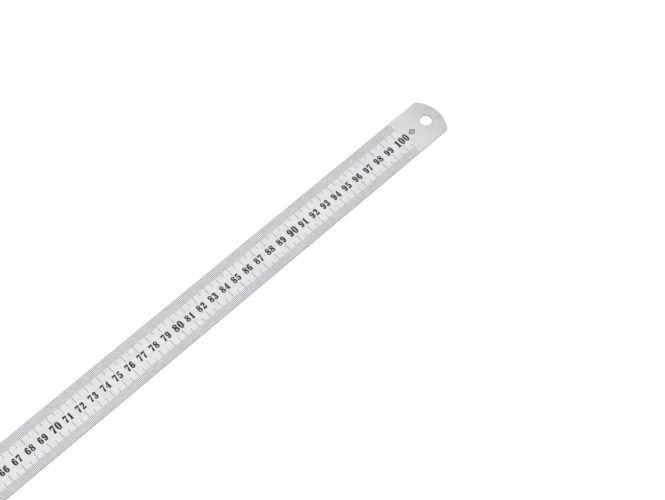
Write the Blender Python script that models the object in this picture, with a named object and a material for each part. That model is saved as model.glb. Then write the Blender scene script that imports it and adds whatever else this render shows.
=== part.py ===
"""Steel ruler: one flat steel blade, centimetres on the top face and inches underneath.

The blade is a single stamping with a square zero end, a round far end and a hanging hole.
Its marks are etched recesses filled with black enamel. Each filling is a solid of its own:
the ten decimetre strokes at each long edge, the tens numerals, and the two inch grids.
Metres, +Z up. The origin is under the middle of the blade, and X runs from zero to the hole.
"""

import math

import bmesh
import bpy
from mathutils import Vector

MM = 0.001
CENTIMETRE = 10 * MM
INCH = 25.4 * MM

# Blade
SCALE_LENGTH = 1000 * MM
BLADE_WIDTH = 31 * MM
BLADE_THICKNESS = 1.0 * MM
TIP_PAST_SCALE = 37.5 * MM
TIP_RADIUS = 23 * MM
TIP_CORNER_RADIUS = 2 * MM
HOLE_PAST_SCALE = 26.3 * MM
HOLE_DIAMETER = 8.5 * MM
HOLE_SIDES = 48
TIP_SEGMENTS = 32
CORNER_SEGMENTS = 5

# Etching and its enamel
ETCH_DEPTH = 0.12 * MM
ENAMEL_THICKNESS = 0.10 * MM
ENAMEL_CLEARANCE = 0.02 * MM
CUTTER_OVERSHOOT = 0.5 * MM

# Centimetre face, where each stroke ends at a distance from the scale's own middle line
CM_STROKE_WIDTH = 0.26 * MM
CM_STROKE_REACH = 3.8 * MM
SCALE_CENTRE_Y = -0.5 * MM
TENS_HEIGHT = 5.7 * MM
TENS_BASELINE_Y = -3.2 * MM
TENS_SHIFT = 0.3 * MM
HUNDRED_SHIFT = 2.3 * MM

# Inch face, where depths are measured from the nearer long edge
LAST_INCH = 39
INCH_SCALE_END = 39.5 * INCH
GRID_LINE_WIDTH = 0.18 * MM
INCH_STROKE_WIDTH = 0.22 * MM
TENTHS_LINE_DEPTH = 6.5 * MM
TENTHS_STROKE_LENGTH = 12.7 * MM
SIXTEENTHS_LINE_DEPTH = 8.5 * MM
SIXTEENTHS_STROKE_LENGTH = 13.0 * MM

BLADE_LENGTH = SCALE_LENGTH + TIP_PAST_SCALE
ZERO_X = -BLADE_LENGTH / 2
TIP_X = BLADE_LENGTH / 2
HALF_WIDTH = BLADE_WIDTH / 2

# Numerals are drawn one unit high. A curve has two handles and an end, a line only its end.
CURVE_STEPS = 3
DIGIT_HEIGHT = 1.0
DIGIT_WIDTH = 0.56
DIGIT_ADVANCE = 0.70

DIGITS = {
    "1": [[
        (0.10, 0.0), (0.50, 0.0), (0.50, 0.045), (0.41, 0.07), (0.41, 1.0), (0.36, 1.0),
        (0.29, 0.90, 0.20, 0.87, 0.10, 0.86), (0.10, 0.82), (0.20, 0.80), (0.20, 0.07),
        (0.10, 0.045),
    ]],
    "2": [[
        (0.04, 0.0), (0.52, 0.0), (0.54, 0.09, 0.545, 0.18, 0.545, 0.27), (0.515, 0.27),
        (0.50, 0.20, 0.47, 0.18, 0.40, 0.18), (0.19, 0.18),
        (0.25, 0.30, 0.34, 0.38, 0.42, 0.48), (0.50, 0.56, 0.54, 0.64, 0.54, 0.74),
        (0.54, 0.90, 0.44, 1.01, 0.28, 1.01), (0.15, 1.01, 0.05, 0.93, 0.05, 0.80),
        (0.05, 0.73, 0.085, 0.69, 0.14, 0.69), (0.20, 0.69, 0.23, 0.73, 0.23, 0.79),
        (0.23, 0.84, 0.20, 0.87, 0.18, 0.90), (0.19, 0.93, 0.22, 0.955, 0.25, 0.955),
        (0.32, 0.955, 0.345, 0.87, 0.345, 0.74), (0.345, 0.63, 0.31, 0.52, 0.25, 0.42),
        (0.18, 0.31, 0.09, 0.18, 0.04, 0.06),
    ]],
    "3": [[
        (0.06, 0.80), (0.06, 0.93, 0.15, 1.01, 0.28, 1.01),
        (0.42, 1.01, 0.51, 0.91, 0.51, 0.76), (0.51, 0.65, 0.46, 0.57, 0.37, 0.535),
        (0.48, 0.51, 0.54, 0.41, 0.54, 0.27), (0.54, 0.10, 0.43, -0.01, 0.27, -0.01),
        (0.13, -0.01, 0.03, 0.07, 0.03, 0.20), (0.03, 0.27, 0.065, 0.31, 0.12, 0.31),
        (0.175, 0.31, 0.21, 0.27, 0.21, 0.21), (0.21, 0.16, 0.18, 0.13, 0.16, 0.10),
        (0.17, 0.065, 0.20, 0.045, 0.23, 0.045), (0.31, 0.045, 0.345, 0.14, 0.345, 0.27),
        (0.345, 0.42, 0.31, 0.505, 0.22, 0.505), (0.17, 0.505), (0.17, 0.55), (0.21, 0.55),
        (0.29, 0.55, 0.33, 0.62, 0.33, 0.76), (0.33, 0.88, 0.30, 0.955, 0.24, 0.955),
        (0.20, 0.955, 0.18, 0.93, 0.17, 0.90), (0.19, 0.87, 0.22, 0.84, 0.22, 0.80),
        (0.22, 0.74, 0.195, 0.70, 0.14, 0.70), (0.09, 0.70, 0.06, 0.74, 0.06, 0.80),
    ]],
    "4": [
        [
            (0.19, 0.0), (0.56, 0.0), (0.56, 0.035), (0.47, 0.06), (0.47, 0.24), (0.57, 0.24),
            (0.57, 0.30), (0.47, 0.30), (0.47, 1.0), (0.41, 1.0), (0.01, 0.30), (0.01, 0.24),
            (0.28, 0.24), (0.28, 0.06), (0.19, 0.035),
        ],
        [(0.07, 0.30), (0.28, 0.30), (0.28, 0.67)],
    ],
    "5": [[
        (0.085, 1.0), (0.50, 1.0), (0.49, 0.88, 0.44, 0.82, 0.36, 0.82), (0.125, 0.82),
        (0.125, 0.575), (0.17, 0.62, 0.22, 0.635, 0.29, 0.635),
        (0.45, 0.635, 0.54, 0.50, 0.54, 0.32), (0.54, 0.12, 0.43, -0.01, 0.26, -0.01),
        (0.12, -0.01, 0.03, 0.07, 0.03, 0.19), (0.03, 0.26, 0.06, 0.30, 0.115, 0.30),
        (0.17, 0.30, 0.205, 0.26, 0.205, 0.20), (0.205, 0.16, 0.18, 0.13, 0.16, 0.10),
        (0.17, 0.065, 0.195, 0.045, 0.225, 0.045), (0.31, 0.045, 0.345, 0.15, 0.345, 0.32),
        (0.345, 0.50, 0.31, 0.585, 0.235, 0.585), (0.18, 0.585, 0.14, 0.56, 0.12, 0.50),
        (0.085, 0.50),
    ]],
    "6": [
        [
            (0.30, 1.01), (0.13, 1.01, 0.02, 0.78, 0.02, 0.46),
            (0.02, 0.18, 0.11, -0.01, 0.28, -0.01), (0.44, -0.01, 0.54, 0.11, 0.54, 0.30),
            (0.54, 0.48, 0.47, 0.61, 0.33, 0.61), (0.285, 0.61, 0.25, 0.59, 0.225, 0.56),
            (0.225, 0.80, 0.25, 0.96, 0.31, 0.96), (0.34, 0.96, 0.365, 0.945, 0.375, 0.91),
            (0.355, 0.88, 0.335, 0.86, 0.335, 0.82), (0.335, 0.765, 0.37, 0.73, 0.42, 0.73),
            (0.475, 0.73, 0.505, 0.77, 0.505, 0.83), (0.505, 0.94, 0.42, 1.01, 0.30, 1.01),
        ],
        [
            (0.285, 0.555), (0.24, 0.555, 0.225, 0.45, 0.225, 0.30),
            (0.225, 0.15, 0.24, 0.045, 0.285, 0.045), (0.33, 0.045, 0.345, 0.15, 0.345, 0.30),
            (0.345, 0.45, 0.33, 0.555, 0.285, 0.555),
        ],
    ],
    "7": [[
        (0.05, 1.0), (0.55, 1.0), (0.55, 0.95), (0.44, 0.70, 0.37, 0.35, 0.37, 0.0),
        (0.16, 0.0), (0.16, 0.30, 0.30, 0.56, 0.47, 0.82), (0.16, 0.82),
        (0.10, 0.82, 0.085, 0.78, 0.075, 0.68), (0.045, 0.68),
    ]],
    "8": [
        [
            (0.28, 1.01), (0.43, 1.01, 0.52, 0.91, 0.52, 0.77),
            (0.52, 0.66, 0.47, 0.59, 0.385, 0.54), (0.49, 0.48, 0.55, 0.39, 0.55, 0.26),
            (0.55, 0.10, 0.44, -0.01, 0.28, -0.01), (0.12, -0.01, 0.01, 0.09, 0.01, 0.25),
            (0.01, 0.37, 0.06, 0.45, 0.16, 0.50), (0.08, 0.55, 0.04, 0.64, 0.04, 0.75),
            (0.04, 0.91, 0.13, 1.01, 0.28, 1.01),
        ],
        [
            (0.29, 0.96), (0.34, 0.96, 0.375, 0.89, 0.375, 0.77),
            (0.375, 0.68, 0.35, 0.62, 0.31, 0.60), (0.25, 0.64, 0.215, 0.70, 0.215, 0.79),
            (0.215, 0.90, 0.24, 0.96, 0.29, 0.96),
        ],
        [
            (0.27, 0.045), (0.21, 0.045, 0.17, 0.12, 0.17, 0.25),
            (0.17, 0.34, 0.19, 0.41, 0.23, 0.45), (0.32, 0.39, 0.365, 0.31, 0.365, 0.21),
            (0.365, 0.11, 0.33, 0.045, 0.27, 0.045),
        ],
    ],
    "0": [
        [
            (0.28, 1.01), (0.44, 1.01, 0.55, 0.81, 0.55, 0.50),
            (0.55, 0.19, 0.44, -0.01, 0.28, -0.01), (0.12, -0.01, 0.01, 0.19, 0.01, 0.50),
            (0.01, 0.81, 0.12, 1.01, 0.28, 1.01),
        ],
        [
            (0.28, 0.955), (0.225, 0.955, 0.205, 0.76, 0.205, 0.50),
            (0.205, 0.24, 0.225, 0.045, 0.28, 0.045), (0.335, 0.045, 0.355, 0.24, 0.355, 0.50),
            (0.355, 0.76, 0.335, 0.955, 0.28, 0.955),
        ],
    ],
}


def half_turned(knot):
    """A knot of an outline, turned half a turn about the middle of the numeral."""
    size = (DIGIT_WIDTH, DIGIT_HEIGHT)
    return tuple(size[index % 2] - value for index, value in enumerate(knot))


DIGITS["9"] = [[half_turned(knot) for knot in loop] for loop in DIGITS["6"]]


def clear_scene():
    for obj in list(bpy.data.objects):
        bpy.data.objects.remove(obj, do_unlink=True)


def make_material(name, colour, metallic, roughness):
    material = bpy.data.materials.new(name)
    material.use_nodes = True
    shader = material.node_tree.nodes["Principled BSDF"]
    shader.inputs["Base Color"].default_value = (*colour, 1.0)
    shader.inputs["Metallic"].default_value = metallic
    shader.inputs["Roughness"].default_value = roughness
    return material


def flatten(loop):
    """The points of one outline, with each curve cut into CURVE_STEPS."""
    points = [Vector(loop[0])]
    for knot in loop[1:]:
        if len(knot) == 2:
            points.append(Vector(knot))
            continue
        start = points[-1]
        first, second, end = Vector(knot[0:2]), Vector(knot[2:4]), Vector(knot[4:6])
        for step in range(1, CURVE_STEPS + 1):
            t = step / CURVE_STEPS
            s = 1 - t
            points.append(s**3 * start + 3 * s * s * t * first + 3 * s * t * t * second + t**3 * end)
    if (points[-1] - points[0]).length < 1e-6:
        points.pop()
    return points


def signed_area(points):
    pairs = zip(points, points[1:] + points[:1])
    return sum(a.x * b.y - b.x * a.y for a, b in pairs) / 2


def oriented(loops):
    """The outer loop anticlockwise and the counters clockwise, so material is on the left."""
    turned = []
    for index, loop in enumerate(loops):
        wants_positive = index == 0
        turned.append(loop if (signed_area(loop) > 0) == wants_positive else loop[::-1])
    return turned


def grown(loop, distance):
    """A loop moved sideways by distance, away from its material."""
    moved = []
    for before, here, after in zip(loop[-1:] + loop[:-1], loop, loop[1:] + loop[:1]):
        along_in = (here - before).normalized()
        along_out = (after - here).normalized()
        side_in = Vector((along_in.y, -along_in.x))
        side_out = Vector((along_out.y, -along_out.x))
        bisector = (side_in + side_out).normalized()
        moved.append(here + bisector * (distance / max(bisector.dot(side_in), 0.5)))
    return moved


def add_prism(mesh, loops, low, high):
    """Adds a closed prism on the loops, from z = low to z = high."""
    edges = []
    for loop in loops:
        corners = [mesh.verts.new((point.x, point.y, low)) for point in loop]
        edges += [mesh.edges.new(pair) for pair in zip(corners, corners[1:] + corners[:1])]
    filled = bmesh.ops.triangle_fill(mesh, use_beauty=True, edges=edges)
    faces = [item for item in filled["geom"] if isinstance(item, bmesh.types.BMFace)]
    raised = bmesh.ops.extrude_face_region(mesh, geom=faces, use_keep_orig=True)
    tops = [item for item in raised["geom"] if isinstance(item, bmesh.types.BMVert)]
    bmesh.ops.translate(mesh, verts=tops, vec=(0, 0, high - low))


def finish_object(name, mesh, material):
    bmesh.ops.recalc_face_normals(mesh, faces=mesh.faces)
    data = bpy.data.meshes.new(name)
    mesh.to_mesh(data)
    mesh.free()
    if material:
        data.materials.append(material)
    obj = bpy.data.objects.new(name, data)
    bpy.context.scene.collection.objects.link(obj)
    return obj


def arc(centre, radius, start, end, segments):
    """Points from angle start to angle end, both included."""
    angles = [start + (end - start) * step / segments for step in range(segments + 1)]
    return [centre + radius * Vector((math.cos(a), math.sin(a))) for a in angles]


def blade_outline():
    """Square zero end, straight sides, small corner radii and one wide arc at the tip."""
    tip_centre = Vector((TIP_X - TIP_RADIUS, 0))
    corner_y = HALF_WIDTH - TIP_CORNER_RADIUS
    corner_x = tip_centre.x + math.sqrt((TIP_RADIUS - TIP_CORNER_RADIUS) ** 2 - corner_y**2)
    meet = math.atan2(corner_y, corner_x - tip_centre.x)
    lower = arc(Vector((corner_x, -corner_y)), TIP_CORNER_RADIUS, -math.pi / 2, -meet, CORNER_SEGMENTS)
    tip = arc(tip_centre, TIP_RADIUS, -meet, meet, TIP_SEGMENTS)
    upper = arc(Vector((corner_x, corner_y)), TIP_CORNER_RADIUS, meet, math.pi / 2, CORNER_SEGMENTS)
    zero_end = [Vector((ZERO_X, HALF_WIDTH)), Vector((ZERO_X, -HALF_WIDTH))]
    return lower + tip[1:-1] + upper + zero_end


def hole_outline():
    centre = Vector((ZERO_X + SCALE_LENGTH + HOLE_PAST_SCALE, 0))
    return arc(centre, HOLE_DIAMETER / 2, 0, 2 * math.pi, HOLE_SIDES)[:-1]


def stroke_loop(x, start_y, end_y, width):
    """A straight stroke across the blade, from the long edge at start_y inward to end_y."""
    left, right = x - width / 2, x + width / 2
    corners = ((left, start_y), (right, start_y), (right, end_y), (left, end_y))
    return [Vector(corner) for corner in corners]


def digit_loops(character, left, baseline, height):
    """One numeral with its lower left corner at (left, baseline)."""
    corner = Vector((left, baseline))
    return [[corner + point * height for point in flatten(loop)] for loop in DIGITS[character]]


def grid_loop(edge_side, line_depth, stroke_length):
    """The line along one edge of the inch face, with a stroke across it at every inch.

    edge_side is +1 for the +Y edge and -1 for the -Y edge. The strokes start at that edge.
    """
    edge_y = edge_side * HALF_WIDTH
    inward = -edge_side
    near = edge_y + inward * (line_depth - GRID_LINE_WIDTH / 2)
    far = edge_y + inward * (line_depth + GRID_LINE_WIDTH / 2)
    tip = edge_y + inward * stroke_length
    half = INCH_STROKE_WIDTH / 2
    inches = [ZERO_X + n * INCH for n in range(1, LAST_INCH + 1)]
    near_side = [Vector((ZERO_X, near))]
    far_side = [Vector((ZERO_X, far))]
    for x in inches:
        left, right = x - half, x + half
        stroke = ((left, near), (left, edge_y), (right, edge_y), (right, near))
        near_side += [Vector(place) for place in stroke]
        far_side += [Vector(place) for place in ((left, far), (left, tip), (right, tip), (right, far))]
    end_x = ZERO_X + INCH_SCALE_END
    return near_side + [Vector((end_x, near)), Vector((end_x, far))] + far_side[::-1]


def metric_marks():
    """Name and loops of each filling in the centimetre face."""
    marks = {}
    for tens in range(10, 110, 10):
        x = ZERO_X + tens * CENTIMETRE
        for side, name in ((1, "upper"), (-1, "lower")):
            inner = SCALE_CENTRE_Y + side * CM_STROKE_REACH
            marks[f"stroke_{tens}_cm_{name}"] = [stroke_loop(x, side * HALF_WIDTH, inner, CM_STROKE_WIDTH)]
        text = str(tens)
        advance = DIGIT_ADVANCE * TENS_HEIGHT
        centre = x + (HUNDRED_SHIFT if tens == 100 else TENS_SHIFT)
        left = centre - advance * (len(text) - 1) / 2 - DIGIT_WIDTH * TENS_HEIGHT / 2
        places = ("hundreds", "tens", "units")[-len(text):]
        for place, (index, character) in zip(places, enumerate(text)):
            loops = digit_loops(character, left + index * advance, TENS_BASELINE_Y, TENS_HEIGHT)
            marks[f"numeral_{tens}_{place}"] = loops
    return marks


def inch_marks():
    """Name and loops of each filling in the inch face, which reads from underneath."""
    return {
        "inch_grid_tenths": [grid_loop(-1, TENTHS_LINE_DEPTH, TENTHS_STROKE_LENGTH)],
        "inch_grid_sixteenths": [grid_loop(1, SIXTEENTHS_LINE_DEPTH, SIXTEENTHS_STROKE_LENGTH)],
    }


def past_edge(point):
    """A point on a long edge or on the zero end, moved clear of the blade so the recess runs out."""
    moved = point.copy()
    if abs(abs(point.y) - HALF_WIDTH) < ENAMEL_CLEARANCE:
        moved.y += math.copysign(CUTTER_OVERSHOOT, point.y)
    if abs(point.x - ZERO_X) < ENAMEL_CLEARANCE:
        moved.x -= CUTTER_OVERSHOOT
    return moved


def add_fillings(marks, face_z, inward, enamel, cutter):
    """Adds each filling as an object, and its recess to the cutter.

    inward is -1 where the blade lies below the face, and +1 where it lies above it.
    """
    enamel_z = face_z + inward * ENAMEL_THICKNESS
    floor_z = face_z + inward * ETCH_DEPTH
    open_z = face_z - inward * CUTTER_OVERSHOOT
    for name, loops in marks.items():
        loops = oriented(loops)
        mesh = bmesh.new()
        inset = [grown(loop, -ENAMEL_CLEARANCE) for loop in loops]
        add_prism(mesh, inset, min(face_z, enamel_z), max(face_z, enamel_z))
        finish_object(name, mesh, enamel)
        recess = [[past_edge(point) for point in loop] for loop in loops]
        add_prism(cutter, recess, min(floor_z, open_z), max(floor_z, open_z))


def build():
    clear_scene()
    steel = make_material("brushed_steel", (0.62, 0.62, 0.64), 1.0, 0.32)
    enamel = make_material("black_enamel", (0.015, 0.015, 0.017), 0.0, 0.45)

    mesh = bmesh.new()
    add_prism(mesh, oriented([blade_outline(), hole_outline()]), 0, BLADE_THICKNESS)
    blade = finish_object("blade", mesh, steel)

    recesses = bmesh.new()
    add_fillings(metric_marks(), BLADE_THICKNESS, -1, enamel, recesses)
    add_fillings(inch_marks(), 0, 1, enamel, recesses)
    cutter = finish_object("recess_cutter", recesses, None)
    cutter.hide_render = True
    cutter.display_type = "WIRE"

    etching = blade.modifiers.new("etching", "BOOLEAN")
    etching.operation = "DIFFERENCE"
    etching.solver = "EXACT"
    etching.object = cutter


build()
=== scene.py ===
"""Looks of the steel ruler: the brushed blade with its etched marks, and the enamel in them.

The blade is a plate with rounded edges whose two faces are triangulated round every mark, so each
mark is a real recess. The enamel in the recesses is solid too, and lies a hair below the steel.
Metres, +Z up, in the CAD frame: X runs from the zero end to the tip, and the +Y edge is the one
farther from the camera.
"""

import math

import bpy
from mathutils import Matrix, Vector
from mathutils.geometry import delaunay_2d_cdt


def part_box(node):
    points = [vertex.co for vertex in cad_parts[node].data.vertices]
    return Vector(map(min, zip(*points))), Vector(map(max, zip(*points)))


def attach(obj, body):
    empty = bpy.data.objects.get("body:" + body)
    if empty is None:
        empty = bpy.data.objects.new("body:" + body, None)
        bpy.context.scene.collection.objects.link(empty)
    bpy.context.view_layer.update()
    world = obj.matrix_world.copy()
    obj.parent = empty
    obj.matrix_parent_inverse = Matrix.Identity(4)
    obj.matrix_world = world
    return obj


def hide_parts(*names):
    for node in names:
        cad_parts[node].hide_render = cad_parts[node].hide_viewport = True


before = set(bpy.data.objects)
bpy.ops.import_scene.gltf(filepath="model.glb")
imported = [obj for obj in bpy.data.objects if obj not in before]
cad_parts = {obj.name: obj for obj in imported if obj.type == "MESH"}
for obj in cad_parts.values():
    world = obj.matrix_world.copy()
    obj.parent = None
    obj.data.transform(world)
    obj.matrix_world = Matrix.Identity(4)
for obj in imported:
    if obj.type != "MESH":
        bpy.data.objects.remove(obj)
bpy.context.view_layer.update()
blade_low, blade_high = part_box("blade")

MM = 0.001
CENTIMETRE = 10 * MM
INCH = 25.4 * MM

# Blade
ZERO_X = blade_low.x
TIP_X = blade_high.x
HALF_WIDTH = blade_high.y
TOP_Z = blade_high.z
UNDERSIDE_Z = blade_low.z
SCALE_LENGTH = 1000 * MM
TIP_RADIUS = 23 * MM
TIP_CORNER_RADIUS = 2 * MM
HOLE_X = ZERO_X + SCALE_LENGTH + 26.3 * MM
HOLE_RADIUS = 4.25 * MM
EDGE_ROUNDING = 0.12 * MM
EDGE_STEPS = 5
TIP_STEPS = 120
CORNER_STEPS = 12
HOLE_STEPS = 128

# A sharp corner of an outline that is moved sideways goes at most this many times as far.
LONGEST_MITRE = 2.0
# The first and last points of an outline are one point when they are closer than this.
CLOSED_WITHIN = 1e-6
# How Blender triangulates a face: only inside its outlines, with points this close taken as one.
INSIDE_THE_OUTLINES = 1
TRIANGULATION_TOLERANCE = 1e-8

# Recesses and the enamel in them. A stroke starts where the face is flat, clear of the rounding.
ETCH_DEPTH = 0.12 * MM
ENAMEL_BELOW_FACE = 0.008 * MM
ENAMEL_THICKNESS = 0.10 * MM
STROKE_START = 0.18 * MM

# Centimetre face. The scale's middle line lies a little off the blade's.
SCALE_CENTRE_Y = -0.5 * MM
# Each kind of stroke: how far from that line it ends, and its width
MILLIMETRE_STROKE = (9.17 * MM, 0.24 * MM)
HALF_CENTIMETRE_STROKE = (6.2 * MM, 0.24 * MM)
CENTIMETRE_STROKE = (3.8 * MM, 0.26 * MM)
MILLIMETRES_MARKED = 1005
LAST_CENTIMETRE = 100
NUMERAL_HEIGHT = 4.9 * MM
NUMERAL_BASELINE_Y = -2.98 * MM
# A weight is how far the ink spreads past the drawn outline of a numeral.
NUMERAL_WEIGHT = 0.18 * MM
TENS_HEIGHT = 5.55 * MM
TENS_BASELINE_Y = -3.2 * MM
TENS_WEIGHT = 0.22 * MM
TENS_SHIFT = 0.3 * MM
HUNDRED_SHIFT = 2.3 * MM
END_MARK_CENTRE = (1012.7 * MM, 0.0 * MM)
END_MARK_HALF_SIZE = (2.7 * MM, 2.1 * MM)
END_MARK_LINE = 0.38 * MM
END_MARK_HATCHES = 5

# Inch face, which reads from underneath with the -Y edge uppermost. Depths are measured inward
# from the nearer long edge. The finest strokes lie between FINEST_FROM_INCH and COARSE_FROM_INCH.
INCHES_MARKED = 39.5
LAST_INCH = 39
COARSE_FROM_INCH = 3.0
FINEST_FROM_INCH = 2.5
GRID_LINE_WIDTH = 0.18 * MM
INCH_STROKE_WIDTH = 0.22 * MM
# A stroke that is no deeper than FINE_STROKE_DEPTH has this width.
FINE_STROKE_WIDTH = 0.16 * MM
FINE_STROKE_DEPTH = 4.0 * MM
# Each line along an edge: its depth, and the inch where it ends
TENTHS_LINES = ((6.5 * MM, INCHES_MARKED), (4.1 * MM, COARSE_FROM_INCH))
SIXTEENTHS_LINES = (
    (8.5 * MM, INCHES_MARKED),
    (6.7 * MM, INCHES_MARKED),
    (5.0 * MM, COARSE_FROM_INCH),
)
# Each kind of stroke, from coarse to fine: how many there are in an inch, and their depth
TENTHS = ((1, 12.7 * MM), (2, 10.2 * MM), (10, 6.5 * MM))
TWENTIETHS = TENTHS + ((20, 4.1 * MM),)
FIFTIETHS = ((1, 12.7 * MM), (10, 6.5 * MM), (50, 2.4 * MM))
SIXTEENTHS = ((1, 13.0 * MM), (2, 10.8 * MM), (4, 9.8 * MM), (8, 8.5 * MM), (16, 6.7 * MM))
THIRTY_SECONDS = SIXTEENTHS + ((32, 5.0 * MM),)
SIXTY_FOURTHS = THIRTY_SECONDS + ((64, 3.5 * MM),)
INCH_NUMERAL_HEIGHT = 5.2 * MM
INCH_NUMERAL_GAP = 0.9 * MM
INCH_TEXT_MIDDLE = 0.5 * MM
LABEL_HEIGHT = 2.8 * MM
LABEL_ADVANCE = 0.62
# Each label: its text, its left side from zero, and how far its middle is above the blade's
LABELS = (
    ("20", 1.7 * MM, 6.2 * MM),
    ("50", FINEST_FROM_INCH * INCH + 1.8 * MM, 6.7 * MM),
    ("10", COARSE_FROM_INCH * INCH + 2.4 * MM, 6.7 * MM),
    ("32", 1.4 * MM, -5.1 * MM),
    ("64", FINEST_FROM_INCH * INCH + 1.4 * MM, -5.1 * MM),
    ("16", COARSE_FROM_INCH * INCH + 2.2 * MM, -5.1 * MM),
)
# Unit word. A letter is its left side from zero and its width, and the I is one line wide.
LETTER_HEIGHT = 2.5 * MM
LETTER_LINE = 0.38 * MM
LETTER_STEPS = 24
LETTER_I_LEFT = 10.8 * MM
LETTER_N = (11.9 * MM, 1.9 * MM)
LETTER_C = (14.4 * MM, 1.9 * MM)
LETTER_H = (16.8 * MM, 1.8 * MM)

# Camera: the point it looks at, and where it stands as seen from there
CAMERA_TARGET = Vector((ZERO_X + 909.5 * MM, -28.8 * MM, TOP_Z))
CAMERA_AZIMUTH = math.radians(225.978)
CAMERA_ELEVATION = math.radians(61.009)
CAMERA_DISTANCE = 1.0108
CAMERA_LENS = 83.7

# Surround, as brightness against the sine of the elevation, and softbox, in watts and metres
SURROUND = ((0.0, 0.76), (0.22, 0.47), (0.55, 0.66), (0.80, 0.98))
SURROUND_STRENGTH = 1.115
SOFTBOX_POWER = 46.0
SOFTBOX_SIZE = 4.0
SOFTBOX_HEIGHT = 3.0
FLOOR_HALF_SIZE = 30.0
FLOOR_GAP = 0.02 * MM

# Finishes, as linear colours. Past the scale the steel's plating thins out, with a step at first.
PLATING_BLUE = (0.792, 0.784, 0.829)
PLATING_WARM = (0.822, 0.815, 0.822)
PLATING_END_X = ZERO_X + 1005.5 * MM
PLATING_STEP = 0.30
PLATING_STEP_LENGTH = 1.5 * MM
BARE_STEEL = (0.50, 0.50, 0.505)
# The grain, the scratches and the mottling lean towards this shade.
GRAIN_SHADE = (0.66, 0.66, 0.67)
# Painted shade darkens a narrow band along the long edges, the round tip and the hole, and the band
# is also made smoother.
PAINTED_EDGE_SHADE = (0.50, 0.50, 0.50)
PAINTED_SHADE_BAND = 0.6 * MM
PAINTED_SHADE_MOST = 0.8
# The tip's band starts here, because the blade farther back is past the tip's radius too.
PAINTED_SHADE_TIP_FROM_X = TIP_X - 9 * MM
PAINTED_SHADE_TIP_FULL_X = TIP_X - 8 * MM
SHEARED_DARK = (0.36, 0.36, 0.37)
SHEARED_LIGHT = (0.52, 0.52, 0.53)
ENAMEL_DARK = (0.006, 0.006, 0.007)
ENAMEL_LIGHT = (0.028, 0.028, 0.030)
PAPER_DARK = (0.955, 0.955, 0.955)
PAPER_LIGHT = (0.965, 0.965, 0.965)

# Numerals are drawn one unit high. A curve has two handles and an end, a line only its end.
CURVE_STEPS = 6
DIGIT_HEIGHT = 1.0
DIGIT_WIDTH = 0.56
DIGIT_ADVANCE = 0.70

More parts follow.
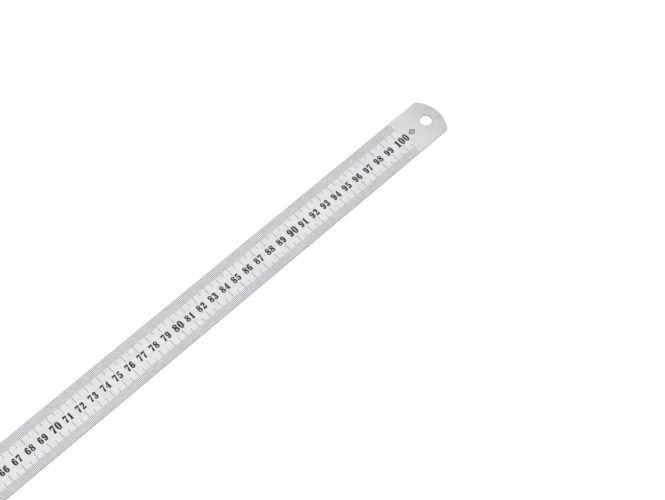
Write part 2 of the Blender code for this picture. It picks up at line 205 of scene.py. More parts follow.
DIGITS = {
    "1": [[
        (0.10, 0.0), (0.50, 0.0), (0.50, 0.045), (0.41, 0.07), (0.41, 1.0), (0.36, 1.0),
        (0.29, 0.90, 0.20, 0.87, 0.10, 0.86), (0.10, 0.82), (0.20, 0.80), (0.20, 0.07),
        (0.10, 0.045),
    ]],
    "2": [[
        (0.04, 0.0), (0.52, 0.0), (0.54, 0.09, 0.545, 0.18, 0.545, 0.27), (0.515, 0.27),
        (0.50, 0.20, 0.47, 0.18, 0.40, 0.18), (0.19, 0.18),
        (0.25, 0.30, 0.34, 0.38, 0.42, 0.48), (0.50, 0.56, 0.54, 0.64, 0.54, 0.74),
        (0.54, 0.90, 0.44, 1.01, 0.28, 1.01), (0.15, 1.01, 0.05, 0.93, 0.05, 0.80),
        (0.05, 0.73, 0.085, 0.69, 0.14, 0.69), (0.20, 0.69, 0.23, 0.73, 0.23, 0.79),
        (0.23, 0.84, 0.20, 0.87, 0.18, 0.90), (0.19, 0.93, 0.22, 0.955, 0.25, 0.955),
        (0.32, 0.955, 0.345, 0.87, 0.345, 0.74), (0.345, 0.63, 0.31, 0.52, 0.25, 0.42),
        (0.18, 0.31, 0.09, 0.18, 0.04, 0.06),
    ]],
    "3": [[
        (0.06, 0.80), (0.06, 0.93, 0.15, 1.01, 0.28, 1.01),
        (0.42, 1.01, 0.51, 0.91, 0.51, 0.76), (0.51, 0.65, 0.46, 0.57, 0.37, 0.535),
        (0.48, 0.51, 0.54, 0.41, 0.54, 0.27), (0.54, 0.10, 0.43, -0.01, 0.27, -0.01),
        (0.13, -0.01, 0.03, 0.07, 0.03, 0.20), (0.03, 0.27, 0.065, 0.31, 0.12, 0.31),
        (0.175, 0.31, 0.21, 0.27, 0.21, 0.21), (0.21, 0.16, 0.18, 0.13, 0.16, 0.10),
        (0.17, 0.065, 0.20, 0.045, 0.23, 0.045), (0.31, 0.045, 0.345, 0.14, 0.345, 0.27),
        (0.345, 0.42, 0.31, 0.505, 0.22, 0.505), (0.17, 0.505), (0.17, 0.55), (0.21, 0.55),
        (0.29, 0.55, 0.33, 0.62, 0.33, 0.76), (0.33, 0.88, 0.30, 0.955, 0.24, 0.955),
        (0.20, 0.955, 0.18, 0.93, 0.17, 0.90), (0.19, 0.87, 0.22, 0.84, 0.22, 0.80),
        (0.22, 0.74, 0.195, 0.70, 0.14, 0.70), (0.09, 0.70, 0.06, 0.74, 0.06, 0.80),
    ]],
    "4": [
        [
            (0.19, 0.0), (0.56, 0.0), (0.56, 0.035), (0.47, 0.06), (0.47, 0.24), (0.57, 0.24),
            (0.57, 0.30), (0.47, 0.30), (0.47, 1.0), (0.41, 1.0), (0.01, 0.30), (0.01, 0.24),
            (0.28, 0.24), (0.28, 0.06), (0.19, 0.035),
        ],
        [(0.07, 0.30), (0.28, 0.30), (0.28, 0.67)],
    ],
    "5": [[
        (0.085, 1.0), (0.50, 1.0), (0.49, 0.88, 0.44, 0.82, 0.36, 0.82), (0.125, 0.82),
        (0.125, 0.575), (0.17, 0.62, 0.22, 0.635, 0.29, 0.635),
        (0.45, 0.635, 0.54, 0.50, 0.54, 0.32), (0.54, 0.12, 0.43, -0.01, 0.26, -0.01),
        (0.12, -0.01, 0.03, 0.07, 0.03, 0.19), (0.03, 0.26, 0.06, 0.30, 0.115, 0.30),
        (0.17, 0.30, 0.205, 0.26, 0.205, 0.20), (0.205, 0.16, 0.18, 0.13, 0.16, 0.10),
        (0.17, 0.065, 0.195, 0.045, 0.225, 0.045), (0.31, 0.045, 0.345, 0.15, 0.345, 0.32),
        (0.345, 0.50, 0.31, 0.585, 0.235, 0.585), (0.18, 0.585, 0.14, 0.56, 0.12, 0.50),
        (0.085, 0.50),
    ]],
    "6": [
        [
            (0.30, 1.01), (0.13, 1.01, 0.02, 0.78, 0.02, 0.46),
            (0.02, 0.18, 0.11, -0.01, 0.28, -0.01), (0.44, -0.01, 0.54, 0.11, 0.54, 0.30),
            (0.54, 0.48, 0.47, 0.61, 0.33, 0.61), (0.285, 0.61, 0.25, 0.59, 0.225, 0.56),
            (0.225, 0.80, 0.25, 0.96, 0.31, 0.96), (0.34, 0.96, 0.365, 0.945, 0.375, 0.91),
            (0.355, 0.88, 0.335, 0.86, 0.335, 0.82), (0.335, 0.765, 0.37, 0.73, 0.42, 0.73),
            (0.475, 0.73, 0.505, 0.77, 0.505, 0.83), (0.505, 0.94, 0.42, 1.01, 0.30, 1.01),
        ],
        [
            (0.285, 0.555), (0.24, 0.555, 0.225, 0.45, 0.225, 0.30),
            (0.225, 0.15, 0.24, 0.045, 0.285, 0.045), (0.33, 0.045, 0.345, 0.15, 0.345, 0.30),
            (0.345, 0.45, 0.33, 0.555, 0.285, 0.555),
        ],
    ],
    "7": [[
        (0.05, 1.0), (0.55, 1.0), (0.55, 0.95), (0.44, 0.70, 0.37, 0.35, 0.37, 0.0),
        (0.16, 0.0), (0.16, 0.30, 0.30, 0.56, 0.47, 0.82), (0.16, 0.82),
        (0.10, 0.82, 0.085, 0.78, 0.075, 0.68), (0.045, 0.68),
    ]],
    "8": [
        [
            (0.28, 1.01), (0.43, 1.01, 0.52, 0.91, 0.52, 0.77),
            (0.52, 0.66, 0.47, 0.59, 0.385, 0.54), (0.49, 0.48, 0.55, 0.39, 0.55, 0.26),
            (0.55, 0.10, 0.44, -0.01, 0.28, -0.01), (0.12, -0.01, 0.01, 0.09, 0.01, 0.25),
            (0.01, 0.37, 0.06, 0.45, 0.16, 0.50), (0.08, 0.55, 0.04, 0.64, 0.04, 0.75),
            (0.04, 0.91, 0.13, 1.01, 0.28, 1.01),
        ],
        [
            (0.29, 0.96), (0.34, 0.96, 0.375, 0.89, 0.375, 0.77),
            (0.375, 0.68, 0.35, 0.62, 0.31, 0.60), (0.25, 0.64, 0.215, 0.70, 0.215, 0.79),
            (0.215, 0.90, 0.24, 0.96, 0.29, 0.96),
        ],
        [
            (0.27, 0.045), (0.21, 0.045, 0.17, 0.12, 0.17, 0.25),
            (0.17, 0.34, 0.19, 0.41, 0.23, 0.45), (0.32, 0.39, 0.365, 0.31, 0.365, 0.21),
            (0.365, 0.11, 0.33, 0.045, 0.27, 0.045),
        ],
    ],
    "0": [
        [
            (0.28, 1.01), (0.44, 1.01, 0.55, 0.81, 0.55, 0.50),
            (0.55, 0.19, 0.44, -0.01, 0.28, -0.01), (0.12, -0.01, 0.01, 0.19, 0.01, 0.50),
            (0.01, 0.81, 0.12, 1.01, 0.28, 1.01),
        ],
        [
            (0.28, 0.955), (0.225, 0.955, 0.205, 0.76, 0.205, 0.50),
            (0.205, 0.24, 0.225, 0.045, 0.28, 0.045), (0.335, 0.045, 0.355, 0.24, 0.355, 0.50),
            (0.355, 0.76, 0.335, 0.955, 0.28, 0.955),
        ],
    ],
}


def half_turned(knot):
    """A knot of an outline, turned half a turn about the middle of the numeral."""
    size = (DIGIT_WIDTH, DIGIT_HEIGHT)
    return tuple(size[index % 2] - value for index, value in enumerate(knot))


# A nine is a six turned half a turn.
DIGITS["9"] = [[half_turned(knot) for knot in loop] for loop in DIGITS["6"]]


def flatten(loop):
    """The points of one outline, with each curve cut into CURVE_STEPS."""
    points = [Vector(loop[0])]
    for knot in loop[1:]:
        if len(knot) == 2:
            points.append(Vector(knot))
            continue
        start = points[-1]
        first, second, end = Vector(knot[0:2]), Vector(knot[2:4]), Vector(knot[4:6])
        for step in range(1, CURVE_STEPS + 1):
            t = step / CURVE_STEPS
            s = 1 - t
            points.append(s**3 * start + 3 * s * s * t * first + 3 * s * t * t * second + t**3 * end)
    if (points[-1] - points[0]).length < CLOSED_WITHIN:
        points.pop()
    return points


def signed_area(points):
    """The area inside a loop, negative if the loop runs clockwise."""
    pairs = zip(points, points[1:] + points[:1])
    return sum(a.x * b.y - b.x * a.y for a, b in pairs) / 2


def turned(points, anticlockwise=True):
    """The same loop, running the way that is asked for."""
    return points if (signed_area(points) > 0) == anticlockwise else points[::-1]


def shrunk(loop, distance):
    """A loop moved sideways into the material on its left, or out of it if distance is negative."""
    moved = []
    for before, here, after in zip(loop[-1:] + loop[:-1], loop, loop[1:] + loop[:1]):
        side_in = Vector((before.y - here.y, here.x - before.x)).normalized()
        side_out = Vector((here.y - after.y, after.x - here.x)).normalized()
        bisector = (side_in + side_out).normalized()
        moved.append(here + bisector * (distance / max(bisector.dot(side_in), 1 / LONGEST_MITRE)))
    return moved


def arc(centre, radius, start, end, steps):
    """Points from angle start to angle end, both included."""
    angles = [start + (end - start) * step / steps for step in range(steps + 1)]
    return [centre + radius * Vector((math.cos(a), math.sin(a))) for a in angles]


def blade_outline():
    """Square zero end, straight sides, small corner radii and one wide arc at the tip."""
    tip_centre = Vector((TIP_X - TIP_RADIUS, 0))
    corner_y = HALF_WIDTH - TIP_CORNER_RADIUS
    corner_x = tip_centre.x + math.sqrt((TIP_RADIUS - TIP_CORNER_RADIUS) ** 2 - corner_y**2)
    meet = math.atan2(corner_y, corner_x - tip_centre.x)
    lower = arc(Vector((corner_x, -corner_y)), TIP_CORNER_RADIUS, -math.pi / 2, -meet, CORNER_STEPS)
    tip = arc(tip_centre, TIP_RADIUS, -meet, meet, TIP_STEPS)
    upper = arc(Vector((corner_x, corner_y)), TIP_CORNER_RADIUS, meet, math.pi / 2, CORNER_STEPS)
    zero_end = [Vector((ZERO_X, HALF_WIDTH)), Vector((ZERO_X, -HALF_WIDTH))]
    return lower + tip[1:-1] + upper + zero_end


def hole_outline():
    """Clockwise, so that the material is on its left."""
    return arc(Vector((HOLE_X, 0)), HOLE_RADIUS, 2 * math.pi, 0, HOLE_STEPS)[:-1]


def rectangle(left, right, low, high):
    return [Vector((left, low)), Vector((right, low)), Vector((right, high)), Vector((left, high))]


def bar(start, end, width):
    """A straight bar between two points."""
    side = (end - start).normalized() * (width / 2)
    side = Vector((side.y, -side.x))
    return [start + side, end + side, end - side, start - side]


def edge_stroke(x, edge_side, inner, width):
    """A straight stroke from the long edge on edge_side, +1 or -1, to y = inner."""
    outer = edge_side * (HALF_WIDTH - STROKE_START)
    return rectangle(x - width / 2, x + width / 2, min(outer, inner), max(outer, inner))


def numeral(text, left, baseline, height, advance=DIGIT_ADVANCE, weight=0.0):
    """(outlines, counters) of a number that starts at left and stands on baseline.

    The ink spreads past an outline by weight, and half as far into a counter.
    """
    outlines, counters = [], []
    for index, character in enumerate(text):
        corner = Vector((left + index * advance * height, baseline))
        loops = [[corner + point * height for point in flatten(loop)] for loop in DIGITS[character]]
        outlines.append(shrunk(turned(loops[0]), -weight))
        counters += [shrunk(turned(loop, anticlockwise=False), -weight / 2) for loop in loops[1:]]
    return outlines, counters


def number_width(text, height):
    return (DIGIT_ADVANCE * (len(text) - 1) + DIGIT_WIDTH) * height


class Marks:
    """The outlines of the marks that one piece of enamel fills, and the islands inside them."""

    def __init__(self, name, replaced=()):
        self.name = name
        self.replaced = replaced
        self.outlines = []
        self.counters = []

    def add(self, outlines, counters=()):
        self.outlines += outlines
        self.counters += counters


def centimetre_strokes(name, edge_side, replaced):
    """A stroke at each millimetre along one edge, longer ones at 5 mm and at 1 cm."""
    marks = Marks(name, replaced)
    for millimetre in range(1, MILLIMETRES_MARKED + 1):
        reach, width = MILLIMETRE_STROKE
        if millimetre % 10 == 0:
            reach, width = CENTIMETRE_STROKE
        elif millimetre % 5 == 0:
            reach, width = HALF_CENTIMETRE_STROKE
        inner = SCALE_CENTRE_Y + edge_side * reach
        marks.add([edge_stroke(ZERO_X + millimetre * MM, edge_side, inner, width)])
    return marks


def centimetre_numerals(replaced):
    """Each number is centred on its stroke. The tens are taller, bolder and a little to the right."""
    marks = Marks("centimetre_numerals", replaced)
    for centimetre in range(1, LAST_CENTIMETRE + 1):
        text = str(centimetre)
        height, baseline, weight, shift = NUMERAL_HEIGHT, NUMERAL_BASELINE_Y, NUMERAL_WEIGHT, 0
        if centimetre % 10 == 0:
            height, baseline, weight = TENS_HEIGHT, TENS_BASELINE_Y, TENS_WEIGHT
            shift = HUNDRED_SHIFT if centimetre == LAST_CENTIMETRE else TENS_SHIFT
        left = ZERO_X + centimetre * CENTIMETRE + shift - number_width(text, height) / 2
        marks.add(*numeral(text, left, baseline, height, weight=weight))
    return marks


def end_mark():
    """A plain hatched lozenge between the last numeral and the hole."""
    marks = Marks("end_lozenge")
    centre = Vector((ZERO_X + END_MARK_CENTRE[0], END_MARK_CENTRE[1]))
    half_x, half_y = END_MARK_HALF_SIZE
    right, top = Vector((half_x, 0)), Vector((0, half_y))
    for start, end in ((right, top), (top, -right), (-right, -top), (-top, right)):
        marks.add([bar(centre + start, centre + end, END_MARK_LINE)])
    for hatch in range(1, END_MARK_HATCHES + 1):
        across = 2 * hatch / (END_MARK_HATCHES + 1) - 1
        reach = top * (1 - abs(across))
        middle = centre + right * across
        marks.add([bar(middle - reach, middle + reach, END_MARK_LINE)])
    return marks


def inch_strokes(marks, edge_side, kinds, start, end):
    """Strokes of the finest kind's spacing after start, up to and including end.

    Each takes its depth from the coarsest kind that has a stroke there.
    """
    parts = kinds[-1][0]
    for step in range(round(start * parts) + 1, round(end * parts) + 1):
        depth = next(depth for count, depth in kinds if step % (parts // count) == 0)
        width = INCH_STROKE_WIDTH if depth > FINE_STROKE_DEPTH else FINE_STROKE_WIDTH
        inner = edge_side * (HALF_WIDTH - depth)
        marks.add([edge_stroke(ZERO_X + step * INCH / parts, edge_side, inner, width)])


def inch_lines(marks, edge_side, lines):
    """The lines that run along one edge."""
    start = ZERO_X + STROKE_START
    half = GRID_LINE_WIDTH / 2
    for depth, inches in lines:
        y = edge_side * (HALF_WIDTH - depth)
        marks.add([rectangle(start, ZERO_X + inches * INCH, y - half, y + half)])


def inch_tenths(replaced):
    """The scale along the -Y edge: 20ths, then 50ths, then 10ths of an inch."""
    marks = Marks("inch_scale_tenths", replaced)
    inch_lines(marks, -1, TENTHS_LINES)
    inch_strokes(marks, -1, TWENTIETHS, 0, FINEST_FROM_INCH)
    inch_strokes(marks, -1, FIFTIETHS, FINEST_FROM_INCH, COARSE_FROM_INCH)
    inch_strokes(marks, -1, TENTHS, COARSE_FROM_INCH, INCHES_MARKED)
    return marks


def inch_sixteenths(replaced):
    """The scale along the +Y edge: 32nds, then 64ths, then 16ths of an inch."""
    marks = Marks("inch_scale_sixteenths", replaced)
    inch_lines(marks, 1, SIXTEENTHS_LINES)
    inch_strokes(marks, 1, THIRTY_SECONDS, 0, FINEST_FROM_INCH)
    inch_strokes(marks, 1, SIXTY_FOURTHS, FINEST_FROM_INCH, COARSE_FROM_INCH)
    inch_strokes(marks, 1, SIXTEENTHS, COARSE_FROM_INCH, INCHES_MARKED)
    return marks


def underneath(loops):
    """Loops drawn as they read on the inch face, placed on the underside."""
    return [[Vector((ZERO_X + point.x, -point.y)) for point in loop] for loop in loops]


def inch_numerals():
    """One digit stands to the left of its stroke, and two stand one on each side of it."""
    marks = Marks("inch_numerals")
    baseline = INCH_TEXT_MIDDLE - INCH_NUMERAL_HEIGHT / 2
    for inch in range(1, LAST_INCH + 1):
        text = str(inch)
        width = number_width(text, INCH_NUMERAL_HEIGHT)
        left = inch * INCH - (width + INCH_NUMERAL_GAP if len(text) == 1 else width / 2)
        outlines, counters = numeral(text, left, baseline, INCH_NUMERAL_HEIGHT)
        marks.add(underneath(outlines), underneath(counters))
    return marks


def scale_labels():
    """The small numbers that say how finely each stretch of the inch scales is divided."""
    marks = Marks("scale_labels")
    for text, left, middle in LABELS:
        baseline = middle - LABEL_HEIGHT / 2
        outlines, counters = numeral(text, left, baseline, LABEL_HEIGHT, LABEL_ADVANCE)
        marks.add(underneath(outlines), underneath(counters))
    return marks


def letter_n(left, width):
    """Two stems, and a diagonal from the upper left to the lower right."""
    line, top, right = LETTER_LINE, LETTER_HEIGHT, left + width
    slant = line * 1.25
    return [Vector(place) for place in (
        (left, 0), (left + line, 0), (left + line, top - slant), (right - line, 0),
        (right, 0), (right, top), (right - line, top), (right - line, slant),
        (left + line, top), (left, top),
    )]


def letter_c(left, width):
    """An open ring, a little taller than it is wide."""
    centre = Vector((left + width / 2, LETTER_HEIGHT / 2))
    start = math.radians(42)
    end = 2 * math.pi - start
    outer = arc(Vector((0, 0)), LETTER_HEIGHT / 2, start, end, LETTER_STEPS)
    inner = arc(Vector((0, 0)), LETTER_HEIGHT / 2 - LETTER_LINE, end, start, LETTER_STEPS)
    squeeze = width / LETTER_HEIGHT
    return [centre + Vector((point.x * squeeze, point.y)) for point in outer + inner]


def letter_h(left, width):
    """Two stems, and a bar between them at half height."""
    line, top, right = LETTER_LINE, LETTER_HEIGHT, left + width
    low, high = (top - line) / 2, (top + line) / 2
    return [Vector(place) for place in (
        (left, 0), (left + line, 0), (left + line, low), (right - line, low),
        (right - line, 0), (right, 0), (right, top), (right - line, top),
        (right - line, high), (left + line, high), (left + line, top), (left, top),
    )]


def unit_word():
    """The word INCH in plain capitals."""
    marks = Marks("unit_word")
    letters = [
        rectangle(LETTER_I_LEFT, LETTER_I_LEFT + LETTER_LINE, 0, LETTER_HEIGHT),
        letter_n(*LETTER_N),
        letter_c(*LETTER_C),
        letter_h(*LETTER_H),
    ]
    baseline = Vector((0, INCH_TEXT_MIDDLE - LETTER_HEIGHT / 2))
    marks.add(underneath([[point + baseline for point in loop] for loop in letters]))
    return marks


def mesh_object(name, polygons, material, rim_polygons=(), rim_material=None):
    """An object from polygons of (x, y, z) points. The rim's polygons are shaded smooth."""
    index = {}
    everything = [*polygons, *rim_polygons]
    faces = [[index.setdefault(point, len(index)) for point in polygon] for polygon in everything]
    data = bpy.data.meshes.new(name)
    data.from_pydata(list(index), [], faces)
    on_rim = [False] * len(polygons) + [True] * len(rim_polygons)
    data.polygons.foreach_set("use_smooth", on_rim)
    data.materials.append(material)
    if rim_material:
        data.materials.append(rim_material)
        data.polygons.foreach_set("material_index", [int(flag) for flag in on_rim])
    data.update()
    obj = bpy.data.objects.new(name, data)
    bpy.context.scene.collection.objects.link(obj)
    return obj


def triangulated(outline, hole, marks_list):
    """The face cut along every mark: ([steel triangles], {marks name: [its triangles]})."""
    points, loops, roles = [], [], []
    jobs = [(outline, "outline"), (hole, "hole")]
    for marks in marks_list:
        jobs += [(loop, marks.name) for loop in marks.outlines]
        jobs += [(loop, "counter") for loop in marks.counters]
    for loop, role in jobs:
        start = len(points)
        points += turned(loop)
        loops.append(list(range(start, len(points))))
        roles.append(role)
    found = delaunay_2d_cdt(points, [], loops, INSIDE_THE_OUTLINES, TRIANGULATION_TOLERANCE)
    corner_points, _, triangles, _, _, loops_round = found
    places = [(point.x, point.y) for point in corner_points]
    steel, enamel = [], {marks.name: [] for marks in marks_list}
    for triangle, sources in zip(triangles, loops_round):
        inside = {roles[source] for source in sources}
        if "hole" in inside:
            continue
        corners = [places[corner] for corner in triangle]
        filled = [name for name in enamel if name in inside]
        if filled and "counter" not in inside:
            enamel[filled[0]].append(corners)
        else:
            steel.append(corners)
    return steel, enamel


def border(triangles):
    """The directed edges round a set of anticlockwise triangles, which lie on their left."""
    sides = set()
    for corners in triangles:
        for side in zip(corners, corners[1:] + corners[:1]):
            if side[::-1] in sides:
                sides.remove(side[::-1])
            else:
                sides.add(side)
    return sorted(sides)


def at(corners, z):
    """A polygon of (x, y) corners, placed at one height."""
    return [(x, y, z) for x, y in corners]


def wall(side, low, high):
    """A quad on a directed edge that faces away from what lies on the edge's left."""
    start, end = side
    return [(*start, low), (*end, low), (*end, high), (*start, high)]


def etched_face(steel, enamel, face_z, inward):
    """The polygons of one face of the blade, with its recesses.

    They are made to face up, and turned over for the underside, whose inward direction is +1.
    """
    floor_z = face_z + inward * ETCH_DEPTH
    polygons = [at(corners, face_z) for corners in steel]
    for triangles in enamel.values():
        polygons += [at(corners, floor_z) for corners in triangles]
        polygons += [wall(side[::-1], floor_z, face_z) for side in border(triangles)]
    return polygons if inward < 0 else [polygon[::-1] for polygon in polygons]


def rounded_rim(loop, low, high):
    """The polygons from one face to the other round a loop with the material on its left."""
    levels = []
    for step in range(EDGE_STEPS + 1):
        turn = math.pi / 2 * step / EDGE_STEPS
        inset = EDGE_ROUNDING * (1 - math.sin(turn))
        drop = EDGE_ROUNDING * (1 - math.cos(turn))
        levels.append((inset, drop))
    rings = [(inset, high - drop) for inset, drop in levels]
    rings += [(inset, low + drop) for inset, drop in levels[::-1]]
    placed = [[(point.x, point.y, z) for point in shrunk(loop, inset)] for inset, z in rings]
    polygons = []
    for upper, lower in zip(placed, placed[1:]):
        for index in range(len(loop)):
            after = (index + 1) % len(loop)
            polygons.append([lower[index], lower[after], upper[after], upper[index]])
    return polygons


def make_enamel(marks, triangles, face_z, inward, material):
    """One piece of enamel: a closed solid in each of its recesses."""
    outer = face_z + inward * ENAMEL_BELOW_FACE
    inner = outer + inward * ENAMEL_THICKNESS
    low, high = min(outer, inner), max(outer, inner)
    polygons = [at(corners, high) for corners in triangles]
    polygons += [at(corners[::-1], low) for corners in triangles]
    polygons += [wall(side, low, high) for side in border(triangles)]
    obj = mesh_object(marks.name, polygons, material)
    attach(obj, "root")
    if marks.replaced:
        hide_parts(*marks.replaced)


def make_blade(sides):
    """The steel plate. Each side has its face's triangles, height and inward direction."""
    polygons = []
    for steel, enamel, face_z, inward in sides:
        polygons += etched_face(steel, enamel, face_z, inward)
    rims = rounded_rim(blade_outline(), UNDERSIDE_Z, TOP_Z)
    rims += rounded_rim(hole_outline(), UNDERSIDE_Z, TOP_Z)
    blade = mesh_object("ruler_blade", polygons, face_material(), rims, edge_material())
    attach(blade, "root")
    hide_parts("blade")


def nodes_matching(start, end):
    """The CAD nodes whose names begin with start and finish with end."""
    return sorted(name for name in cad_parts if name.startswith(start) and name.endswith(end))


class Shading:
    """A material's node tree, with short ways to add and join nodes."""

    def __init__(self, name):
        self.material = bpy.data.materials.new(name)
        self.material.use_nodes = True
        self.nodes = self.material.node_tree.nodes
        self.links = self.material.node_tree.links
        self.shader = self.nodes["Principled BSDF"]
        self.place = self.nodes.new("ShaderNodeTexCoord").outputs["Object"]

    def noise(self, scale, detail=2.0, roughness=0.5):
        """Noise with its own scale along X, Y and Z, in cycles per metre."""
        mapping = self.nodes.new("ShaderNodeMapping")
        mapping.inputs["Scale"].default_value = scale
        self.links.new(self.place, mapping.inputs["Vector"])
        texture = self.nodes.new("ShaderNodeTexNoise")
        texture.inputs["Scale"].default_value = 1.0
        texture.inputs["Detail"].default_value = detail
        texture.inputs["Roughness"].default_value = roughness
        self.links.new(mapping.outputs["Vector"], texture.inputs["Vector"])
        return texture.outputs["Fac"]

    def position(self):
        """The sockets that give X and Y in the CAD frame."""
        node = self.nodes.new("ShaderNodeSeparateXYZ")
        self.links.new(self.place, node.inputs["Vector"])
        return node.outputs["X"], node.outputs["Y"]

    def distance_from(self, x, y):
        """A socket that gives the distance from the point (x, y) of the top face."""
        node = self.nodes.new("ShaderNodeVectorMath")
        node.operation = "DISTANCE"
        node.inputs[1].default_value = (x, y, TOP_Z)
        self.links.new(self.place, node.inputs[0])
        return node.outputs["Value"]

    def ranged(self, value, from_low, from_high, to_low, to_high):
        """A value between from_low and from_high, brought to between to_low and to_high."""
        node = self.nodes.new("ShaderNodeMapRange")
        node.inputs["From Min"].default_value = from_low
        node.inputs["From Max"].default_value = from_high
        node.inputs["To Min"].default_value = to_low
        node.inputs["To Max"].default_value = to_high
        self.links.new(value, node.inputs["Value"])
        return node.outputs["Result"]

    def combined(self, operation, first, second):
        """The result of a Math node on two values, each a number or a socket."""
        node = self.nodes.new("ShaderNodeMath")
        node.operation = operation
        for socket, value in zip(node.inputs, (first, second)):
            if isinstance(value, (int, float)):
                socket.default_value = value
            else:
                self.links.new(value, socket)
        return node.outputs["Value"]

    def mixed(self, factor, first, second):
        """Colour between first and second, each an (r, g, b) or another colour socket.

        The node's colours are its inputs 6 and 7 and its output 2, after numbers and vectors.
        """
        node = self.nodes.new("ShaderNodeMix")
        node.data_type = "RGBA"
        self.links.new(factor, node.inputs["Factor"])
        for socket, value in zip((node.inputs[6], node.inputs[7]), (first, second)):
            if isinstance(value, tuple):
                socket.default_value = (*value, 1.0)
            else:
                self.links.new(value, socket)
        return node.outputs[2]

    def bump(self, height, distance, strength):
        node = self.nodes.new("ShaderNodeBump")
        node.inputs["Distance"].default_value = distance
        node.inputs["Strength"].default_value = strength
        self.links.new(height, node.inputs["Height"])
        self.links.new(node.outputs["Normal"], self.shader.inputs["Normal"])

    def feed(self, name, value):
        self.links.new(value, self.shader.inputs[name])

    def fix(self, name, value):
        self.shader.inputs[name].default_value = value


def near_an_edge(steel, east, north):
    """A socket that rises to its highest at the long edges, the round tip and the hole's rim, the
    band of painted shade.
    """
    aside = steel.combined("ABSOLUTE", north, 0.0)
    long_edges = steel.ranged(aside, HALF_WIDTH - PAINTED_SHADE_BAND, HALF_WIDTH, 0.0, PAINTED_SHADE_MOST)
    from_tip_centre = steel.distance_from(TIP_X - TIP_RADIUS, 0.0)
    tip = steel.ranged(from_tip_centre, TIP_RADIUS - PAINTED_SHADE_BAND, TIP_RADIUS, 0.0, PAINTED_SHADE_MOST)
    at_tip = steel.ranged(east, PAINTED_SHADE_TIP_FROM_X, PAINTED_SHADE_TIP_FULL_X, 0.0, 1.0)
    from_hole_centre = steel.distance_from(HOLE_X, 0.0)
    rim = steel.ranged(from_hole_centre, HOLE_RADIUS, HOLE_RADIUS + PAINTED_SHADE_BAND, PAINTED_SHADE_MOST, 0.0)
    round_edges = steel.combined("MAXIMUM", steel.combined("MULTIPLY", tip, at_tip), rim)
    return steel.combined("MAXIMUM", long_edges, round_edges)


def face_material():
    """Satin-plated steel: cloudy tint, fine grain and scratches along the blade, and mottling.

    The plating covers the scale and thins out past its end, where the steel underneath is greyer.
    Near an edge the face is darkened with painted shade, and made smoother.
    """
    steel = Shading("brushed_steel")
    steel.fix("Metallic", 1.0)
    cloud = steel.ranged(steel.noise((14, 40, 14), 3.0), 0.35, 0.65, 0.0, 1.0)
    tint = steel.mixed(cloud, PLATING_BLUE, PLATING_WARM)
    east, north = steel.position()
    past_scale = steel.ranged(east, PLATING_END_X, TIP_X, 0.0, 1.0)
    step_end = PLATING_END_X + PLATING_STEP_LENGTH
    step = steel.ranged(east, PLATING_END_X, step_end, 0.0, PLATING_STEP)
    thinning = steel.combined("MAXIMUM", step, past_scale)
    base = steel.mixed(thinning, tint, BARE_STEEL)
    grain = steel.noise((60, 5200, 60), 3.0, 0.6)
    grained = steel.mixed(steel.ranged(grain, 0.3, 0.7, 0.0, 0.25), base, GRAIN_SHADE)
    scratch = steel.ranged(steel.noise((18, 2600, 18), 1.0), 0.70, 0.76, 0.0, 0.5)
    scratched = steel.mixed(scratch, grained, GRAIN_SHADE)
    patchy = steel.noise((240, 240, 240), 2.0)
    # Painted shade: a patchy darker band at the long edges, the round tip and the hole's rim, which
    # also lowers the roughness there.
    painted_shade_and_smoothing = steel.combined("MULTIPLY", near_an_edge(steel, east, north), patchy)
    mottle = steel.ranged(steel.noise((220, 340, 220), 4.0, 0.65), 0.38, 0.62, 0.0, 0.6)
    mottled = steel.mixed(mottle, scratched, GRAIN_SHADE)
    # In that band the colour leans towards the painted edge shade.
    steel.feed("Base Color", steel.mixed(painted_shade_and_smoothing, mottled, PAINTED_EDGE_SHADE))
    roughness = steel.ranged(grain, 0.3, 0.7, 0.30, 0.40)
    smoothing = steel.combined("MULTIPLY", painted_shade_and_smoothing, 0.12)
    steel.feed("Roughness", steel.combined("SUBTRACT", roughness, smoothing))
    groove = steel.combined("MULTIPLY", scratch, -0.5)
    steel.bump(steel.combined("ADD", grain, groove), 0.004 * MM, 0.6)
    return steel.material


def edge_material():
    """Sheared steel: rougher than the faces, with fine marks through the thickness."""
    steel = Shading("sheared_edge")
    steel.fix("Metallic", 1.0)
    shear = steel.noise((2600, 2600, 160), 3.0, 0.6)
    steel.feed("Base Color", steel.mixed(shear, SHEARED_DARK, SHEARED_LIGHT))
    steel.feed("Roughness", steel.ranged(shear, 0.3, 0.7, 0.38, 0.55))
    steel.bump(shear, 0.01 * MM, 0.6)
    return steel.material


def enamel_material():
    """Enamel that filled an etched mark: uneven depth of colour, a little rough, faintly pitted."""
    enamel = Shading("black_enamel")
    enamel.fix("Specular IOR Level", 0.35)
    wear = enamel.ranged(enamel.noise((900, 900, 900), 3.0), 0.40, 0.72, 0.0, 1.0)
    enamel.feed("Base Color", enamel.mixed(wear, ENAMEL_DARK, ENAMEL_LIGHT))
    enamel.feed("Roughness", enamel.ranged(wear, 0.0, 1.0, 0.50, 0.68))
    enamel.bump(enamel.noise((4200, 4200, 4200), 2.0), 0.006 * MM, 0.5)
    return enamel.material


def floor_material():
    """Matt white paper, with a barely visible unevenness."""
    paper = Shading("white_paper")
    cloud = paper.noise((1.5, 1.5, 1.5), 2.0)
    paper.feed("Base Color", paper.mixed(cloud, PAPER_DARK, PAPER_LIGHT))
    paper.fix("Roughness", 0.9)
    paper.fix("Specular IOR Level", 0.1)
    return paper.material


def make_floor():
    half = FLOOR_HALF_SIZE
    corners = [(-half, -half), (half, -half), (half, half), (-half, half)]
    floor = mesh_object("floor", [at(corners, UNDERSIDE_Z - FLOOR_GAP)], floor_material())


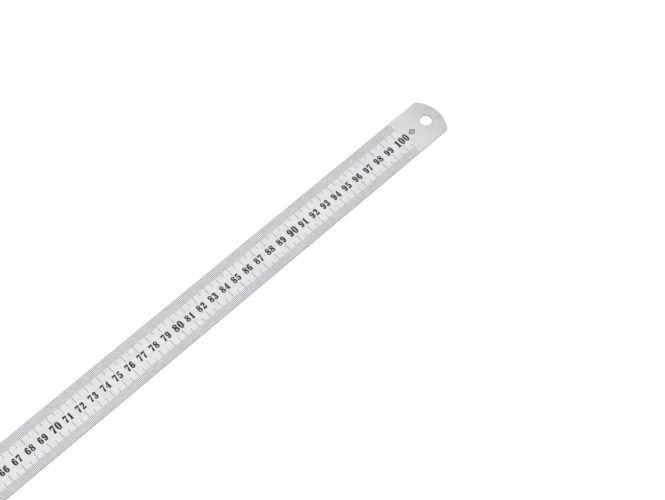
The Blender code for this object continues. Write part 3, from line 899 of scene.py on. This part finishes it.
def make_camera():
    """The camera stands off the near edge, and looks down at the last quarter of the scale."""
    data = bpy.data.cameras.new("camera")
    data.sensor_width = 36.0
    data.lens = CAMERA_LENS
    data.clip_start = 0.01
    data.clip_end = 100.0
    camera = bpy.data.objects.new("camera", data)
    bpy.context.scene.collection.objects.link(camera)
    flat = CAMERA_DISTANCE * math.cos(CAMERA_ELEVATION)
    offset = Vector((
        flat * math.cos(CAMERA_AZIMUTH),
        flat * math.sin(CAMERA_AZIMUTH),
        CAMERA_DISTANCE * math.sin(CAMERA_ELEVATION),
    ))
    camera.location = CAMERA_TARGET + offset
    camera.rotation_mode = "QUATERNION"
    camera.rotation_quaternion = (CAMERA_TARGET - camera.location).to_track_quat("-Z", "Y")
    bpy.context.scene.camera = camera


def make_surround():
    """A pale surround that the blade mirrors: brightest overhead, darkest a little way up."""
    world = bpy.data.worlds.new("studio")
    world.use_nodes = True
    nodes, links = world.node_tree.nodes, world.node_tree.links
    direction = nodes.new("ShaderNodeTexCoord")
    split = nodes.new("ShaderNodeSeparateXYZ")
    links.new(direction.outputs["Generated"], split.inputs["Vector"])
    ramp = nodes.new("ShaderNodeValToRGB")
    stops = ramp.color_ramp.elements
    while len(stops) < len(SURROUND):
        stops.new(1.0)
    for stop, (position, brightness) in zip(stops, SURROUND):
        stop.position = position
        stop.color = (brightness, brightness, brightness, 1.0)
    links.new(split.outputs["Z"], ramp.inputs["Fac"])
    background = nodes["Background"]
    background.inputs["Strength"].default_value = SURROUND_STRENGTH
    links.new(ramp.outputs["Color"], background.inputs["Color"])
    bpy.context.scene.world = world


def make_softbox():
    """A wide softbox overhead, which lights the floor and stays out of the blade's reflections."""
    data = bpy.data.lights.new("softbox", "AREA")
    data.shape = "SQUARE"
    data.size = SOFTBOX_SIZE
    data.energy = SOFTBOX_POWER
    light = bpy.data.objects.new("softbox", data)
    light.location = (0.0, 0.0, SOFTBOX_HEIGHT)
    light.visible_glossy = False
    bpy.context.scene.collection.objects.link(light)


def make_ruler():
    """The enamel of both faces, and the blade with its recesses round it."""
    enamel = enamel_material()
    outline = shrunk(blade_outline(), EDGE_ROUNDING)
    hole = shrunk(hole_outline(), EDGE_ROUNDING)
    top_marks = [
        centimetre_strokes("centimetre_strokes_upper", 1, nodes_matching("stroke_", "_upper")),
        centimetre_strokes("centimetre_strokes_lower", -1, nodes_matching("stroke_", "_lower")),
        centimetre_numerals(nodes_matching("numeral_", "")),
        end_mark(),
    ]
    under_marks = [
        inch_tenths(["inch_grid_tenths"]),
        inch_sixteenths(["inch_grid_sixteenths"]),
        inch_numerals(),
        scale_labels(),
        unit_word(),
    ]
    sides = []
    for marks_list, face_z, inward in ((top_marks, TOP_Z, -1), (under_marks, UNDERSIDE_Z, 1)):
        steel_part, enamel_part = triangulated(outline, hole, marks_list)
        sides.append((steel_part, enamel_part, face_z, inward))
        for marks in marks_list:
            make_enamel(marks, enamel_part[marks.name], face_z, inward, enamel)
    make_blade(sides)


make_camera()
make_ruler()
make_floor()
make_surround()
make_softbox()
bpy.context.scene.view_settings.view_transform = "Standard"

bpy.context.view_layer.update()
